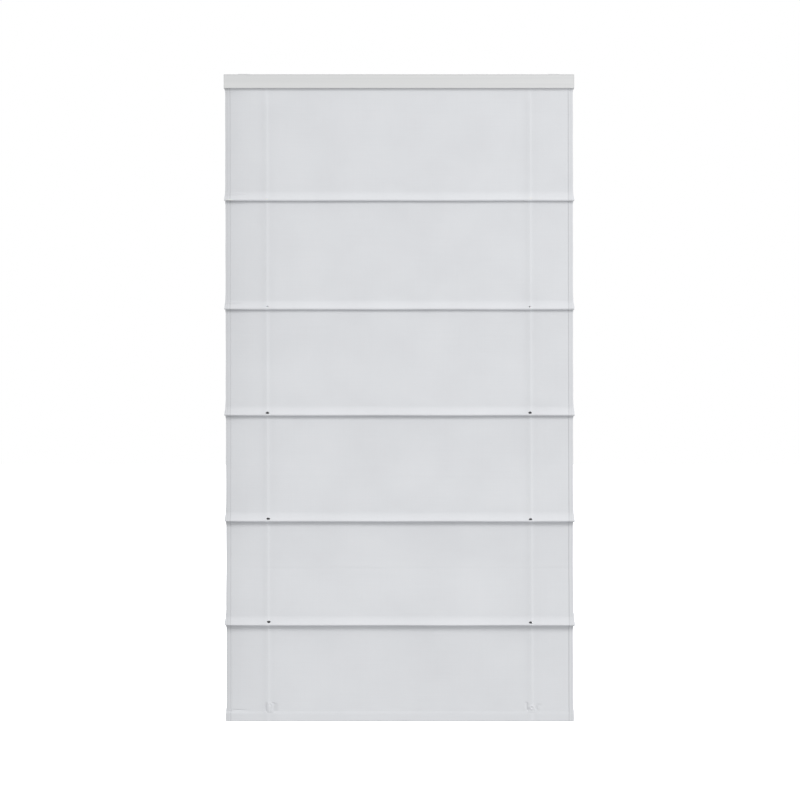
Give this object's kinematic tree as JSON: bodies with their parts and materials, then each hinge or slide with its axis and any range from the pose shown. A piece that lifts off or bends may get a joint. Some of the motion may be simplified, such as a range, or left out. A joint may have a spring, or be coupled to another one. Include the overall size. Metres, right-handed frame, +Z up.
{
  "type": "roman blind",
  "caption": "Cordless roman blind: flat fabric shade with soft horizontal tucks and a weighted hem, hung from a slim white headrail with a hidden spring lift.",
  "frame": {"origin": "centre of the four screw holes, on the top faces of the two mounting brackets", "axes": "+X along the headrail to the right as seen from the room, -Y towards the room, +Z up; the shade hangs down -Z"},
  "size_m": [0.88, 0.0449, 1.628],
  "materials": {
    "rail_paint": "satin white powder coat",
    "cap_plastic": "satin moulded",
    "bracket_steel": "zinc plated",
    "spring_steel": "blued spring steel",
    "mechanism_plastic": "natural acetal",
    "guide_plastic": "clear grey nylon",
    "shaft_steel": "drawn bar",
    "cloth": "fine plain weave polyester, pale cool grey",
    "tape": "woven polyester tape",
    "cord": "braided polyester cord",
    "rod_plastic": "pultruded white rod",
    "ring_plastic": "moulded, slightly translucent",
    "bar_aluminium": "mill finish"
  },
  "bodies": {
    "headrail": {"headrail": "rail_paint", "end_cap_left": "cap_plastic", "end_cap_right": "cap_plastic", "bracket_left": "bracket_steel", "bracket_right": "bracket_steel", "bracket_clip_left": "spring_steel", "bracket_clip_right": "spring_steel", "spool_cradle_left": "mechanism_plastic", "spool_cradle_right": "mechanism_plastic", "cord_guide_left": "guide_plastic", "cord_guide_right": "guide_plastic", "motor_housing": "mechanism_plastic", "motor_cover": "mechanism_plastic", "spring_band": "spring_steel", "fabric_spline": "rod_plastic", "shade_fabric": "cloth", "ring_tape_left": "tape", "ring_tape_right": "tape", "lift_cord_left": "cord", "lift_cord_right": "cord"},
    "lift_shaft": {"lift_shaft": "shaft_steel", "cord_spool_left": "mechanism_plastic", "cord_spool_right": "mechanism_plastic", "output_drum": "mechanism_plastic"},
    "storage_drum": {"storage_drum": "mechanism_plastic"},
    "fold_1": {"fold_rod_1": "rod_plastic", "cord_rings_1": "ring_plastic"},
    "fold_2": {"fold_rod_2": "rod_plastic", "cord_rings_2": "ring_plastic"},
    "fold_3": {"fold_rod_3": "rod_plastic", "cord_rings_3": "ring_plastic"},
    "fold_4": {"fold_rod_4": "rod_plastic", "cord_rings_4": "ring_plastic"},
    "fold_5": {"fold_rod_5": "rod_plastic", "cord_rings_5": "ring_plastic"},
    "bottom_rail": {"weight_bar": "bar_aluminium", "bar_cap_left": "guide_plastic", "bar_cap_right": "guide_plastic", "cord_anchor_left": "guide_plastic", "cord_anchor_right": "guide_plastic", "cord_adjuster_left": "ring_plastic", "cord_adjuster_right": "ring_plastic"}
  },
  "joints": [
    {"name": "lift", "type": "slide", "parent": "headrail", "child": "bottom_rail", "axis": [0, 0, 1], "range_m": [0, 1.3506], "deforming": ["shade_fabric", "ring_tape_left", "ring_tape_right", "lift_cord_left", "lift_cord_right"]},
    {"name": "fold_1_rise", "type": "slide", "parent": "headrail", "child": "fold_1", "axis": [0, 0, 1], "range_m": [0, 0.2302]},
    {"name": "fold_2_rise", "type": "slide", "parent": "headrail", "child": "fold_2", "axis": [0, 0, 1], "range_m": [0, 0.4693]},
    {"name": "fold_3_rise", "type": "slide", "parent": "headrail", "child": "fold_3", "axis": [0, 0, 1], "range_m": [0, 0.7019]},
    {"name": "fold_4_rise", "type": "slide", "parent": "headrail", "child": "fold_4", "axis": [0, 0, 1], "range_m": [0, 0.934]},
    {"name": "fold_5_rise", "type": "slide", "parent": "headrail", "child": "fold_5", "axis": [0, 0, 1], "range_m": [0, 1.1606]},
    {"name": "shaft_spin", "type": "hinge", "parent": "headrail", "child": "lift_shaft", "pos_m": [0, 0.0037, -0.019], "axis": [-1, 0, 0], "range_deg": [0, 7980]},
    {"name": "storage_spin", "type": "hinge", "parent": "headrail", "child": "storage_drum", "pos_m": [0, -0.0103, -0.015], "axis": [-1, 0, 0], "range_deg": [-8461, 0]}
  ],
  "couplings": [
    {"joint": "fold_1_rise", "follows": "lift", "ratio": 0.17007},
    {"joint": "fold_2_rise", "follows": "lift", "ratio": 0.3471},
    {"joint": "fold_3_rise", "follows": "lift", "ratio": 0.51932},
    {"joint": "fold_4_rise", "follows": "lift", "ratio": 0.69117},
    {"joint": "fold_5_rise", "follows": "lift", "ratio": 0.85895},
    {"joint": "shaft_spin", "follows": "lift", "rad_per_m": 103.09},
    {"joint": "storage_spin", "follows": "lift", "rad_per_m": -109.3}
  ]
}
